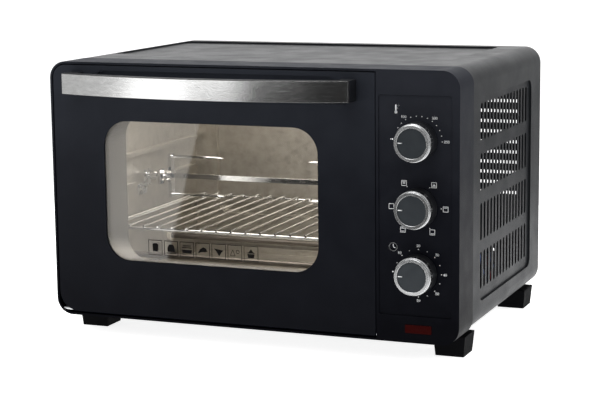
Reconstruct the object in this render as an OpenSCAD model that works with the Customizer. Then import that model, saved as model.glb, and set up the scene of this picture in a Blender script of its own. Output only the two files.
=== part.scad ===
// Countertop rotisserie oven with a drop-down door on the left and three dials on the right.
// Lengths are millimetres. The modules work in a "front" frame: x from the middle of the oven to the
// right, y from the front face to the back, z up from the surface that the feet stand on.
// place() moves that frame so that the origin is at the bottom centre of the whole oven.

/* [Body] */
// Width of the oven
body_w = 500; // [480:1:520]
// Height of the body without its feet
body_h = 302; // [295:1:320]
// Depth of the body without the handle
body_d = 352; // [345:1:380]
// Radius of the body's long edges
corner_r = 20; // [16:1:22]
// How much smaller the sheet steel body is than the frame, at each side and below
shell_in = 1.5; // [1:0.1:2]
// Depth of the moulded front frame
frame_d = 53; // [50:1:56]
// Height of the feet
foot_h = 24; // [18:1:28]
// Thickness of the sheet steel
sheet = 1; // [0.8:0.1:1.2]

/* [Door] */
// Wall of the frame around the door
rim = 2.5; // [2:0.1:3]
// Gap all round the door
door_gap = 0.8; // [0.6:0.1:1]
// Thickness of the door without its handle
door_t = 32; // [30:0.5:34]
// Width of the control panel, right of the door
panel_w = 95.5; // [94:0.5:98]
// Width of the window
window_w = 267; // [240:1:280]
// Height of the window
window_h = 164; // [140:1:166]
// Radius of the window's corners
window_r = 30; // [10:1:36]
// Length of the handle
handle_l = 354; // [340:1:368]
// Height of the handle
handle_h = 24; // [20:1:26]
// How far the middle of the handle stands out from the door
handle_out = 50; // [44:1:52]
// How far the ends of the handle's front stand out from the door
handle_end_out = 23; // [22:1:30]

/* [Controls] */
// Distance between the dials
knob_pitch = 73; // [70:1:76]
// Diameter of a dial's chrome ring
knob_d = 42; // [36:1:44]
// How far a dial stands out from the panel
knob_out = 24; // [20:1:26]

/* [Oven] */
// Width inside the oven
cavity_w = 341; // [338:1:343]
// Height inside the oven
cavity_h = 260; // [256:1:262]
// Height of the spit above the body's bottom
spit_z = 147; // [144:1:150]
// Distance of the spit behind the front face
spit_y = 165; // [160:1:170]
// Distance between the wires of the rack
wire_pitch = 19; // [16:1:24]

/* [Hidden] */
$fn = 48;

// colours
black_paint = "#1c1e22";
black_plastic = "#17181b";
galvanised = "#a8a49c";
steel_bright = "#c9ccd0";
chrome = "#dfe3e8";

// the body's outline and the two bays of the front frame
half_w = body_w / 2;
z_low = foot_h;
z_high = foot_h + body_h;
gland_out = 8;
mid_y = (body_d + gland_out - handle_out) / 2;
panel_x = half_w - panel_w;
mullion = 2.6;

// the door and its hinge
hinge_y = 3;
hinge_z = z_low + rim + door_gap + hinge_y;
door_x0 = -half_w + rim + door_gap;
door_x1 = panel_x - door_gap / 2;
door_z0 = z_low + rim + door_gap;
door_z1 = z_high - rim - door_gap;
door_low_r = 24;
door_edge = 2;
skin = 1.6;
door_mid = -half_w + 202.5;
window_z0 = z_low + 70.5;
window_x0 = door_mid - window_w / 2;
glass_t = 4;
glass_lap = 9;
pin_r = 2;
pin_fit = 0.05;
pin_x0 = -half_w + 6.1;
pin_x1 = panel_x + mullion - 0.8;
boss_w = 8;
boss_xs = [door_x0 + 18, door_x1 - skin - boss_w];
pocket_d = 9;
plate_y = door_t + 1.4;
plate_t = 1.2;
plate_back = plate_y + plate_t;
stay_r = 187;
stay_w = 7;
stay_t = 2;
stay_xs = [-half_w + 17, panel_x - 18];
spring_r = 4;
spring_wire = 1.2;

// the handle, a bow through its two ends and its middle
handle_mid = -half_w + 205;
handle_z = z_low + 278.3;
bow = handle_out - handle_end_out;
bow_r = (handle_l * handle_l / 4 + bow * bow) / (2 * bow);
handle_t = 13;
trim_t = 1;
post_l = 16;

// the dials
knob_x = half_w - 47;
knob_zs = [z_low + 152 + knob_pitch, z_low + 152, z_low + 152 - knob_pitch];
panel_t = 3;
panel_recess = 1;
shaft_r = 3;
shaft_hole_r = 4.5;
skirt_r = knob_d / 2 + 0.8;
lens_w = 30.5;
lens_h = 9.6;
lens_x = -half_w + 453.2;
lens_z = z_low + 15.8;

// the cavity
cavity_x0 = door_mid - cavity_w / 2;
cavity_x1 = door_mid + cavity_w / 2;
cavity_z0 = z_low + 21;
cavity_z1 = cavity_z0 + cavity_h;
cavity_back_y = 326;
guide_zs = [z_low + 96, z_low + 140, z_low + 178];
guide_h = 5;
guide_w = 7;
guide_ends = [44, 316];
guide_gap = [140, 190];
wall2_x = cavity_x1 + 20;
heater_r = 3.5;
heater_ys = [110, 240];
heater_low_z = z_low + 55;
heater_high_z = z_low + 256;
insulator_r = 6;

// the rack
rack_wire_r = 2;
rack_z = guide_zs[0] + rack_wire_r;
rack_x0 = cavity_x0 + 4;
rack_x1 = cavity_x1 - 4;
rack_y0 = 58;
rack_y1 = 314;
rack_corner = 10;
grid_r = 1.3;

// the spit
spit_h = z_low + spit_z;
rod_w = 6;
rod_fit = 0.15;
tip_r = 2.5;
collar_r = 4.5;
rod_x0 = cavity_x0 + 20;
rod_x1 = cavity_x1 - 2;
fork_hub_r = 8;
fork_hub_l = 14;
prong_reach = 24;
prong_l = 64;
prong_r = 1.75;
fork_left_x = cavity_x0 + 30;
fork_right_x = cavity_x1 - 44;
fork_screw_r = 2;

// the side vents
vent_rows = [z_low + 45, z_low + 101, z_low + 158, z_low + 215];
vent_h = 43;
vent_w = 7;
vent_pitch = 13.8;
vent_y0 = 97.7;
vents_per_row = 15;
press_d = 2.5;

// the feet
foot_top = [37, 38];
foot_low = [33, 34];
foot_x = half_w - 25;
foot_front_y = 63;
foot_rear_y = 323;
foot_bore = 12;
screw_hole_r = 1.6;
hem_w = 47;
side_x = half_w - shell_in;

// Moves the front frame to the oven's own origin
module place() {
    translate([0, -mid_y, 0]) children();
}

// Extrudes an x-z outline backwards from y0
module slab_y(y0, d) {
    translate([0, y0 + d, 0]) rotate([90, 0, 0]) linear_extrude(height = d) children();
}

// Extrudes a y-z outline to the right from x0
module slab_x(x0, d) {
    translate([x0, 0, 0]) rotate([90, 0, 90]) linear_extrude(height = d) children();
}

// Rod along x, y or z
module rod_x(x0, x1, y, z, r) {
    translate([x0, y, z]) rotate([0, 90, 0]) cylinder(h = x1 - x0, r = r);
}

module rod_y(y0, y1, x, z, r) {
    translate([x, y0, z]) rotate([-90, 0, 0]) cylinder(h = y1 - y0, r = r);
}

// What a corner of radius r takes away from a square corner at the origin, towards +x and +y
module corner_cut(r) {
    difference() {
        translate([-1, -1]) square(r + 1);
        translate([r, r]) circle(r = r);
    }
}

// Box outline with its own radius at each corner: low left, low right, high right, high left
module soft_box(x0, z0, x1, z1, radii) {
    difference() {
        translate([x0, z0]) square([x1 - x0, z1 - z0]);
        if (radii[0] > 0) translate([x0, z0]) corner_cut(radii[0]);
        if (radii[1] > 0) translate([x1, z0]) mirror([1, 0]) corner_cut(radii[1]);
        if (radii[2] > 0) translate([x1, z1]) rotate(180) corner_cut(radii[2]);
        if (radii[3] > 0) translate([x0, z1]) mirror([0, 1]) corner_cut(radii[3]);
    }
}

module even_box(x0, z0, x1, z1, r) {
    soft_box(x0, z0, x1, z1, [r, r, r, r]);
}

// Slot with round ends
module slot_up(x, z0, z1, w) {
    translate([x - w / 2, z0 + w / 2]) square([w, z1 - z0 - w]);
    translate([x, z0 + w / 2]) circle(d = w, $fn = 24);
    translate([x, z1 - w / 2]) circle(d = w, $fn = 24);
}

module slot_across(x0, x1, z, w) {
    translate([x0 + w / 2, z - w / 2]) square([x1 - x0 - w, w]);
    translate([x0 + w / 2, z]) circle(d = w, $fn = 24);
    translate([x1 - w / 2, z]) circle(d = w, $fn = 24);
}

// ---- body ----

module body_outline() {
    even_box(-half_w, z_low, half_w, z_high, corner_r);
}

// Outline of the sheet steel body, a little smaller than the frame at the sides and below
module shell_outline(inset = 0) {
    even_box(
        -half_w + shell_in + inset, z_low + shell_in + inset, half_w - shell_in - inset, z_high - inset,
        corner_r - inset
    );
}

module door_bay() {
    r = corner_r - rim;
    soft_box(-half_w + rim, z_low + rim, panel_x, z_high - rim, [r, 0, 0, r]);
}

module control_bay() {
    r = corner_r - rim;
    soft_box(panel_x + mullion, z_low + rim, half_w - rim, z_high - rim, [0, r, r, 0]);
}

// Everything inside the rim, for the steel plate behind the door
module inner_outline(inset = 0) {
    r = corner_r - rim - inset;
    even_box(-half_w + rim + inset, z_low + rim + inset, half_w - rim - inset, z_high - rim - inset, r);
}

module lens_outline(grow = 0) {
    dx = lens_w / 2 + grow;
    dz = lens_h / 2 + grow;
    even_box(lens_x - dx, lens_z - dz, lens_x + dx, lens_z + dz, 1);
}

// Frame, mullion and control panel in one moulding, with a rib that the face plate sits against
module front_frame() {
    color(black_plastic) place() difference() {
        union() {
            slab_y(0, plate_y) difference() {
                body_outline();
                door_bay();
                control_bay();
            }
            slab_y(plate_y, frame_d - plate_y) difference() {
                body_outline();
                inner_outline();
            }
            slab_y(plate_back, 2) difference() {
                inner_outline();
                even_box(-half_w + 9, z_low + 9, half_w - 9, z_high - 9, corner_r - 9);
            }
            slab_y(0, panel_t) control_bay();
        }
        slab_y(-1, 1 + panel_recess)
            even_box(panel_x + 3, z_low + 30.5, half_w - 8.5, z_high - 27.5, 3);
        for (z = knob_zs) rod_y(-1, panel_t + 1, knob_x, z, shaft_hole_r);
        slab_y(-1, panel_t + 2) lens_outline();
        rod_x(pin_x0, boss_xs[0], hinge_y, hinge_z, pin_r);
        rod_x(panel_x - 1, pin_x1, hinge_y, hinge_z, pin_r);
    }
}

// Height of a stay where it passes the depth y
function stay_z(y) = hinge_z + sqrt(stay_r * stay_r - (y - hinge_y) * (y - hinge_y));

// Steel plate that closes the front of the body, with the oven's mouth in it
module face_plate() {
    color(black_paint) place() slab_y(plate_y, plate_t) difference() {
        inner_outline();
        even_box(cavity_x0 + 1.5, cavity_z0 + 4, cavity_x1 - 1.5, cavity_z1 - 4, 14);
        for (z = knob_zs) translate([knob_x, z]) circle(r = shaft_hole_r);
        for (x = stay_xs) translate([x - 2.5, stay_z(plate_y) - 7]) square([5, 14]);
        translate([lens_x - 8, lens_z + 2]) square([16, 10]);
    }
}

// One side's pressed panel, seen along x: its outline in y and z
module press_outline(grow = 0) {
    even_box(84 - grow, z_low + 32 - grow, 308 + grow, z_low + 265 + grow, 12 + grow);
}

module side_vents() {
    for (row = vent_rows, i = [0 : vents_per_row - 1])
        slot_up(vent_y0 + i * vent_pitch, row, row + vent_h, vent_w);
}

module top_press_outline(grow = 0) {
    even_box(-half_w + 20 - grow, 119 - grow, half_w - 50 + grow, 335 + grow, 10 + grow);
}

// Painted steel sheet bent over the top and both sides, with hems at the bottom and the back
module wrapper() {
    y0 = frame_d;
    color(black_paint) place() difference() {
        union() {
            slab_y(y0, body_d - y0) difference() {
                shell_outline();
                shell_outline(sheet);
                translate([-half_w + hem_w, z_low - 1]) square([body_w - 2 * hem_w, 6]);
            }
            slab_y(body_d - sheet, sheet) difference() {
                shell_outline();
                shell_outline(8);
                translate([-half_w + hem_w, z_low - 1]) square([body_w - 2 * hem_w, 12]);
            }
            slab_x(side_x - sheet - press_d, sheet + press_d - 0.2) press_outline(sheet);
            slab_x(-side_x + 0.2, sheet + press_d - 0.2) press_outline(sheet);
            translate([0, 0, z_high - sheet - press_d])
                linear_extrude(height = sheet + press_d - 0.2) top_press_outline(sheet);
        }
        slab_x(side_x - press_d, press_d + 1) press_outline();
        slab_x(-side_x - 1, press_d + 1) press_outline();
        translate([0, 0, z_high - press_d]) linear_extrude(height = press_d + 1) top_press_outline();
        slab_x(-half_w - 1, 9) side_vents();
        slab_x(half_w - 8, 9) side_vents();
        for (p = rear_screw_places()) rod_y(body_d - 3, body_d + 1, p[0], p[1], screw_hole_r);
        foot_screw_holes();
    }
}

function rear_screw_places() = [
    for (x = [-half_w + 6.5, half_w - 6.5], z = [z_low + 40, z_low + 150, z_low + 262]) [x, z]
];

// Holes for the screws of the feet, through whatever lies on the feet
module foot_screw_holes() {
    for (p = foot_places()) translate([p[0], p[1], z_low - 1]) cylinder(h = 6, r = screw_hole_r);
}

function foot_places() = [
    for (x = [-foot_x, foot_x], y = [foot_front_y, foot_rear_y]) [x, y]
];

// Steel floor of the body with rows of air slots
module base_plate() {
    color(black_paint) place() difference() {
        translate([-half_w + 21.5, frame_d + 0.5, z_low + shell_in + sheet])
            cube([body_w - 43, body_d - frame_d - 3, sheet]);
        translate([0, 0, z_low]) linear_extrude(height = 5)
            for (y = [110, 190, 270], i = [-5 : 5]) slot_up(i * 30, y, y + 40, 5);
        foot_screw_holes();
    }
}

// Back of the body with air slots behind the controls and the hole for the cord's gland
module rear_panel() {
    color(black_paint) place() difference() {
        slab_y(body_d - 2 * sheet, sheet) shell_outline(1.3);
        slab_y(body_d - 4, 5) {
            for (i = [0 : 9]) slot_across(half_w - 88, half_w - 28, z_low + 116 + i * 13, 4);
            for (i = [0 : 5]) slot_across(-half_w + 60, -half_w + 160, z_low + 200 + i * 13, 4);
        }
        rod_y(body_d - 4, body_d + 1, half_w - 60, z_low + 40, 7);
        for (p = rear_screw_places()) rod_y(body_d - 4, body_d + 1, p[0], p[1], screw_hole_r);
    }
}

// Rubber gland where the mains lead would leave
module cord_gland() {
    color(black_plastic) place() difference() {
        union() {
            rod_y(body_d - 6, body_d + 2, half_w - 60, z_low + 40, 6.9);
            rod_y(body_d - sheet, body_d + 2, half_w - 60, z_low + 40, 10);
            rod_y(body_d + 2, body_d + gland_out, half_w - 60, z_low + 40, 6);
            rod_y(body_d - 6, body_d - 2 * sheet, half_w - 60, z_low + 40, 9);
        }
        rod_y(body_d - 7, body_d + gland_out + 1, half_w - 60, z_low + 40, 3.6);
    }
}

// Pan-head screw whose tip points along +y from the head's underside at y = 0
module screw(shank, head_r = 3.2, shank_r = 1.5) {
    difference() {
        rotate([90, 0, 0]) cylinder(h = 2, r1 = head_r, r2 = head_r - 0.8);
        translate([-0.4, -3, -2.2]) cube([0.8, 2, 4.4]);
        translate([-2.2, -3, -0.4]) cube([4.4, 2, 0.8]);
    }
    rotate([-90, 0, 0]) cylinder(h = shank, r = shank_r);
}

// The screws of the wrapper's back edge and of the feet, all of one kind
module housing_screws() {
    color(steel_bright) place() {
        for (p = rear_screw_places()) translate([p[0], body_d, p[1]]) rotate([0, 0, 180]) screw(7);
        for (p = foot_places()) translate([p[0], p[1], foot_bore]) rotate([90, 0, 0])
            screw(foot_h + 5 - foot_bore);
    }
}

// Tapered rubber foot, hollowed for its screw, with a low boss that carries the sheet steel body
module foot(x, y) {
    color(black_plastic) place() translate([x, y, 0]) difference() {
        union() {
            hull() {
                translate([-foot_low[0] / 2, -foot_low[1] / 2, 0]) cube([foot_low[0], foot_low[1], 1]);
                translate([-foot_top[0] / 2, -foot_top[1] / 2, foot_h - 2])
                    cube([foot_top[0], foot_top[1], 2]);
            }
            cylinder(h = foot_h + shell_in, r = 8);
        }
        translate([0, 0, -1]) cylinder(h = foot_bore + 1, r = 6);
        cylinder(h = foot_h + 2, r = screw_hole_r);
    }
}

module foot_front_left() { foot(-foot_x, foot_front_y); }
module foot_front_right() { foot(foot_x, foot_front_y); }
module foot_rear_left() { foot(-foot_x, foot_rear_y); }
module foot_rear_right() { foot(foot_x, foot_rear_y); }

// ---- oven ----

// Outlines of the rack guides; the middle one has a gap for the spit
module guides(inset) {
    for (i = [0 : 2]) {
        halves = [[guide_ends[0], guide_gap[0]], [guide_gap[1], guide_ends[1]]];
        for (p = i == 1 ? halves : [guide_ends])
            slot_across(p[0] + inset, p[1] - inset, guide_zs[i] - guide_h / 2, guide_h - 2 * inset);
    }
}

// Side wall: a sheet with three pressed rack guides that stand into the oven
module cavity_wall(inner_x, dir, holes_r) {
    outer_x = inner_x - dir * sheet;
    low_x = min(inner_x, outer_x);
    place() difference() {
        union() {
            slab_x(low_x, sheet) translate([plate_back, cavity_z0])
                square([cavity_back_y - plate_back, cavity_h]);
            slab_x(dir > 0 ? outer_x : inner_x - guide_w, guide_w + sheet) guides(0);
        }
        slab_x(dir > 0 ? outer_x - 1 : inner_x - guide_w + sheet, guide_w + 1) guides(1.1);
        for (y = heater_ys, z = [heater_low_z, heater_high_z])
            rod_x(low_x - 1, low_x + sheet + 1, y, z, insulator_r);
        if (holes_r > 0) rod_x(low_x - 1, low_x + sheet + 1, spit_y, spit_h, holes_r);
    }
}

module cavity_left_wall() { color(galvanised) cavity_wall(cavity_x0, 1, 0); }
module cavity_right_wall() { color(galvanised) cavity_wall(cavity_x1, -1, 10); }

module cavity_sheet(z) {
    color(galvanised) place() translate([cavity_x0 - sheet, plate_back, z])
        cube([cavity_w + 2 * sheet, cavity_back_y - plate_back, sheet]);
}

module cavity_top() { cavity_sheet(cavity_z1); }
module cavity_floor() { cavity_sheet(cavity_z0 - sheet); }

module cavity_back() {
    x0 = cavity_x0 + 30;
    x1 = cavity_x1 - 30;
    z0 = cavity_z0 + 50;
    z1 = cavity_z1 - 40;
    color(galvanised) place() difference() {
        union() {
            slab_y(cavity_back_y, sheet) translate([cavity_x0 - sheet, cavity_z0 - sheet])
                square([cavity_w + 2 * sheet, cavity_h + 2 * sheet]);
            slab_y(cavity_back_y, 9) even_box(x0, z0, x1, z1, 20);
        }
        slab_y(cavity_back_y - 1, 9) even_box(x0 + sheet, z0 + sheet, x1 - sheet, z1 - sheet, 19);
    }
}

// Wall between the oven and the controls
module compartment_wall() {
    color(galvanised) place() difference() {
        translate([wall2_x, plate_back, z_low + 9])
            cube([sheet, body_d - 2 * sheet - plate_back, body_h - 18]);
        rod_x(wall2_x - 1, wall2_x + sheet + 1, spit_y, spit_h, 9);
        for (y = heater_ys, z = [heater_low_z, heater_high_z])
            rod_x(wall2_x - 1, wall2_x + sheet + 1, y, z, 5);
    }
}

module heater(y, z) {
    color("#5c5853") place() rod_x(cavity_x0 - 12, cavity_x1 + 12, y, z, heater_r);
}

module top_heater_front() { heater(heater_ys[0], heater_high_z); }
module top_heater_rear() { heater(heater_ys[1], heater_high_z); }
module bottom_heater_front() { heater(heater_ys[0], heater_low_z); }
module bottom_heater_rear() { heater(heater_ys[1], heater_low_z); }

// Ceramic bushes that carry the heaters through the side walls
module heater_insulators() {
    color("#e6e0d2") place()
        for (y = heater_ys, z = [heater_low_z, heater_high_z], side = [-1, 1])
            translate([side > 0 ? cavity_x1 : cavity_x0, y, z]) rotate([0, 90 * side, 0]) difference() {
                union() {
                    translate([0, 0, -4]) cylinder(h = 4, r = insulator_r + 2);
                    translate([0, 0, -4]) cylinder(h = 12, r = insulator_r - 0.05);
                }
                translate([0, 0, -5]) cylinder(h = 14, r = heater_r + 0.05);
            }
}

// Rectangle of thick wire with round corners, and thin wires laid across it
module wire_rack() {
    c = rack_corner;
    color(steel_bright) place() {
        for (x = [rack_x0, rack_x1]) rod_y(rack_y0 + c, rack_y1 - c, x, rack_z, rack_wire_r);
        for (y = [rack_y0, rack_y1]) rod_x(rack_x0 + c, rack_x1 - c, y, rack_z, rack_wire_r);
        for (sx = [0, 1], sy = [0, 1])
            translate([sx ? rack_x1 - c : rack_x0 + c, sy ? rack_y1 - c : rack_y0 + c, rack_z])
                rotate([0, 0, sx ? (sy ? 0 : -90) : (sy ? 90 : 180)])
                    rotate_extrude(angle = 90, $fn = 64) translate([c, 0]) circle(r = rack_wire_r);
        n = floor((rack_x1 - rack_x0 - 2 * c) / wire_pitch / 2);
        for (i = [-n : n]) rod_y(
            rack_y0 - rack_wire_r, rack_y1 + rack_wire_r,
            door_mid + i * wire_pitch, rack_z + rack_wire_r + grid_r - 0.3, grid_r
        );
    }
}

// Shallow tray on the oven's floor
module crumb_tray() {
    x0 = cavity_x0 + 8;
    y0 = plate_back + 3;
    tray_d = 280;
    x1 = cavity_x1 - 8;
    color(galvanised) place() difference() {
        translate([x0, y0, cavity_z0]) cube([x1 - x0, tray_d, 9]);
        translate([x0 + sheet, y0 + sheet, cavity_z0 + sheet])
            cube([x1 - x0 - 2 * sheet, tray_d - 2 * sheet, 9]);
    }
}

// ---- rotisserie ----

// Square rod with a round tip on the left and a point where the food goes on
module spit_rod() {
    color(chrome) place() {
        translate([rod_x0, spit_y - rod_w / 2, spit_h - rod_w / 2]) cube([rod_x1 - rod_x0, rod_w, rod_w]);
        rod_x(cavity_x0 + 3, rod_x0, spit_y, spit_h, tip_r);
    }
}

// Ring on the rod that keeps the spit in its rest
module spit_collar() {
    color(chrome) place() difference() {
        rod_x(rod_x0 - 7, rod_x0 + 3, spit_y, spit_h, collar_r);
        rod_x(rod_x0 - 8, rod_x0, spit_y, spit_h, tip_r);
        translate([rod_x0, spit_y - rod_w / 2, spit_h - rod_w / 2]) cube([4, rod_w, rod_w]);
    }
}

// Fork on the rod: a clamp block, a cross bar and two pointed prongs towards the oven's middle
module spit_fork(x, dir) {
    color(chrome) place() translate([x, spit_y, spit_h]) mirror([dir > 0 ? 0 : 1, 0, 0]) difference() {
        union() {
            rotate([0, 90, 0]) cylinder(h = fork_hub_l, r = fork_hub_r);
            translate([fork_hub_l - 4, -5, -prong_reach - 3]) cube([4, 10, 2 * prong_reach + 6]);
            for (s = [-1, 1]) translate([fork_hub_l - 2, 0, s * prong_reach]) rotate([0, 90, 0]) {
                cylinder(h = prong_l, r = prong_r);
                translate([0, 0, prong_l]) cylinder(h = 8, r1 = prong_r, r2 = 0.3);
            }
        }
        translate([-1, -rod_w / 2 - rod_fit, -rod_w / 2 - rod_fit])
            cube([fork_hub_l + 2, rod_w + 2 * rod_fit, rod_w + 2 * rod_fit]);
        translate([fork_hub_l / 2 - 2, 0, 0]) rotate([90, 0, 0])
            cylinder(h = fork_hub_r + 2, r = fork_screw_r + 0.05);
    }
}

module spit_fork_left() { spit_fork(fork_left_x, 1); }
module spit_fork_right() { spit_fork(fork_right_x + fork_hub_l, -1); }

// Wing screw that clamps a fork, pointing at the oven's front
module fork_screw(x) {
    color(chrome) place() translate([x, spit_y, spit_h]) {
        translate([0, -rod_w / 2 - 0.3, 0]) rotate([90, 0, 0]) cylinder(h = 12, r = fork_screw_r);
        translate([0, -rod_w / 2 - 8, 0]) rotate([90, 0, 0]) cylinder(h = 5, r = 3.4);
        slab_y(-rod_w / 2 - 18, 10) intersection() {
            square([3.2, 18], center = true);
            circle(r = 9);
        }
    }
}

module fork_screw_left() { fork_screw(fork_left_x + fork_hub_l / 2 - 2); }
module fork_screw_right() { fork_screw(fork_right_x + fork_hub_l / 2 + 2); }

// Notched plate on the left wall that carries the spit's tip
module spit_rest() {
    color(steel_bright) place() difference() {
        union() {
            slab_x(cavity_x0, 1.2) even_box(spit_y - 12, spit_h - 26, spit_y + 12, spit_h - 12, 2);
            translate([cavity_x0, spit_y - 8, spit_h - 14]) cube([9, 16, 1.5]);
            slab_x(cavity_x0 + 7.5, 1.5) even_box(spit_y - 8, spit_h - 14, spit_y + 8, spit_h + 6, 2);
        }
        rod_x(cavity_x0 + 5, cavity_x0 + 12, spit_y, spit_h, tip_r + 0.3);
        translate([cavity_x0 + 5, spit_y - tip_r - 0.3, spit_h]) cube([7, 2 * tip_r + 0.6, 10]);
    }
}

// Socket that turns the spit, with the shaft that comes out of the gearbox
module drive_socket() {
    color(steel_bright) place() difference() {
        union() {
            rod_x(cavity_x1 - 16, cavity_x1 + 8, spit_y, spit_h, 8);
            rod_x(cavity_x1 + 8, wall2_x + 12, spit_y, spit_h, 4);
        }
        translate([cavity_x1 - 17, spit_y - rod_w / 2 - rod_fit, spit_h - rod_w / 2 - rod_fit])
            cube([16, rod_w + 2 * rod_fit, rod_w + 2 * rod_fit]);
    }
}

// Gearbox with a round synchronous motor on its back and ears for two screws
module spit_motor() {
    x = wall2_x + sheet;
    color("#8c8f93") place() difference() {
        union() {
            slab_x(x, 20) even_box(spit_y - 27, spit_h - 34, spit_y + 27, spit_h + 26, 6);
            slab_x(x, 2) even_box(spit_y - 38, spit_h - 9, spit_y + 38, spit_h + 9, 6);
            rod_x(x + 20, x + 40, spit_y, spit_h - 6, 25);
            translate([x + 20, spit_y - 9, spit_h - 37]) cube([14, 18, 8]);
        }
        rod_x(x - 1, x + 14, spit_y, spit_h, 4.05);
        for (s = [-1, 1]) rod_x(x - 1, x + 3, spit_y + s * 32, spit_h, 2);
    }
}

// ---- controls ----

// Threaded neck and bore that all three controls share
module control_bore(z) {
    rod_y(plate_back - 1, plate_back + 12, knob_x, z, shaft_r + 0.05);
}

module thermostat() {
    z = knob_zs[0];
    color("#b9b3a6") place() difference() {
        union() {
            slab_y(plate_back, 12) even_box(knob_x - 20, z - 13, knob_x + 20, z + 13, 4);
            slab_y(plate_back + 12, 10) even_box(knob_x - 15, z - 11, knob_x + 15, z + 11, 2);
            for (s = [-1, 1]) translate([knob_x + s * 17 - 3, plate_back + 12, z - 3]) cube([6, 12, 0.8]);
        }
        control_bore(z);
    }
}

module function_switch() {
    z = knob_zs[1];
    color("#3a3b3e") place() difference() {
        union() {
            rod_y(plate_back, plate_back + 22, knob_x, z, 21);
            for (a = [0 : 60 : 300]) translate([knob_x + 16 * cos(a) - 3, plate_back + 22, z + 16 * sin(a)])
                cube([6, 8, 0.8]);
        }
        control_bore(z);
    }
}

module timer() {
    z = knob_zs[2];
    color("#9a9ca0") place() difference() {
        union() {
            slab_y(plate_back, 26) even_box(knob_x - 26, z - 24, knob_x + 26, z + 24, 3);
            rod_y(plate_back + 26, plate_back + 30, knob_x, z, 4);
        }
        control_bore(z);
    }
}

// Bell cup on the post at the back of the timer
module timer_bell() {
    z = knob_zs[2];
    color(steel_bright) place() translate([knob_x, plate_back + 30, z]) rotate([-90, 0, 0]) rotate_extrude()
        polygon([[0, 0], [12, 0], [19, 5], [19, 9], [18, 9], [18, 5.5], [12, 1], [0, 1]]);
}

// Shaft from inside the control, through plate and panel, into its knob
module control_shaft(z) {
    color(steel_bright) place() rod_y(-knob_out + 8, plate_back + 11, knob_x, z, shaft_r);
}

module temperature_shaft() { control_shaft(knob_zs[0]); }
module function_shaft() { control_shaft(knob_zs[1]); }
module timer_shaft() { control_shaft(knob_zs[2]); }

// Turned profile about a dial's axis: radius outwards, and distance from the panel forwards
module dial(z) {
    translate([knob_x, 0, z]) rotate([90, 0, 0]) rotate_extrude($fn = 96) children();
}

// Black dial body with a skirt, hollow behind, and a socket for the shaft
module knob_body(z) {
    r = knob_d / 2;
    color(black_plastic) place() dial(z) polygon([
        [shaft_r + 0.05, 1], [6, 1], [6, 9], [r - 3, 9], [r - 3, 0.6], [skirt_r, 0.6], [skirt_r, 3],
        [r, 12], [r - 2.5, 12.5], [r - 2.5, knob_out - 2.5], [0, knob_out - 2.5], [0, knob_out - 8],
        [shaft_r + 0.05, knob_out - 8]
    ]);
}

module temperature_knob() { knob_body(knob_zs[0]); }
module function_knob() { knob_body(knob_zs[1]); }
module timer_knob() { knob_body(knob_zs[2]); }

// Chrome sleeve round the front of the dial
module knob_ring(z) {
    r = knob_d / 2;
    color(chrome) place() dial(z) polygon([
        [r - 2.5, 12.5], [r, 12.5], [r, knob_out - 4.2], [r - 0.9, knob_out - 3.6],
        [r - 0.9, knob_out - 0.5],
        [r - 1.3, knob_out], [r - 4.1, knob_out], [r - 4.4, knob_out - 0.3], [r - 4.4, knob_out - 2.5],
        [r - 2.5, knob_out - 2.5]
    ]);
}

module temperature_knob_ring() { knob_ring(knob_zs[0]); }
module function_knob_ring() { knob_ring(knob_zs[1]); }
module timer_knob_ring() { knob_ring(knob_zs[2]); }

// Dark disc in the ring, with a groove that points at the scale
module knob_cap(z) {
    r = knob_d / 2 - 4.4;
    color("#2e3336") place() difference() {
        dial(z) polygon([
            [0, knob_out - 2.5], [r, knob_out - 2.5], [r, knob_out - 1.4], [r - 0.6, knob_out - 0.8],
            [0, knob_out - 0.8]
        ]);
        translate([knob_x - r + 0.8, -knob_out, z - 0.6]) cube([5.4, 1.1, 1.2]);
    }
}

module temperature_knob_cap() { knob_cap(knob_zs[0]); }
module function_knob_cap() { knob_cap(knob_zs[1]); }
module timer_knob_cap() { knob_cap(knob_zs[2]); }

// Red window of the pilot lamp, held in the panel by a flange behind it
module pilot_lens() {
    color("#7a0c0c") place() {
        slab_y(-0.4, panel_t + 0.4) lens_outline(-0.1);
        slab_y(panel_t, 2) lens_outline(2);
    }
}

// Neon lamp behind the window
module pilot_lamp() {
    color("#d98c5f") place() {
        rod_x(lens_x - 8, lens_x + 8, panel_t + 5, lens_z, 3);
        rod_x(lens_x - 12, lens_x - 8, panel_t + 5, lens_z, 1);
    }
}

// ---- door ----

module door_outline(inset = 0) {
    r = corner_r - rim - door_gap - inset;
    soft_box(
        door_x0 + inset, door_z0 + inset, door_x1 - inset, door_z1 - inset,
        [door_low_r - inset, 1, 1, max(r, 1)]
    );
}

module window_outline(grow = 0) {
    even_box(
        window_x0 - grow, window_z0 - grow, window_x0 + window_w + grow, window_z0 + window_h + grow,
        window_r + grow
    );
}

// Finger pocket behind the handle
module pocket_outline(grow = 0) {
    x0 = door_mid - 150.5 - grow;
    x1 = door_mid + 163.5 + grow;
    z0 = z_low + 262 - grow;
    z1 = z_low + 292.6 + grow;
    polygon([[x0, z0], [x1, z0], [x1, z1 - 8], [x1 - 15, z1], [x0 + 15, z1], [x0, z1 - 8]]);
}

// Front of the door, with its edges bevelled back by door_edge at the left and the bottom
module door_front() {
    hull() {
        slab_y(0, 0.01) soft_box(
            door_x0 + 1, door_z0 + door_edge, door_x1 - 0.8, door_z1 - 0.8, [door_low_r, 1, 1, 15]
        );
        slab_y(door_edge, 0.01) door_outline();
    }
}

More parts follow.
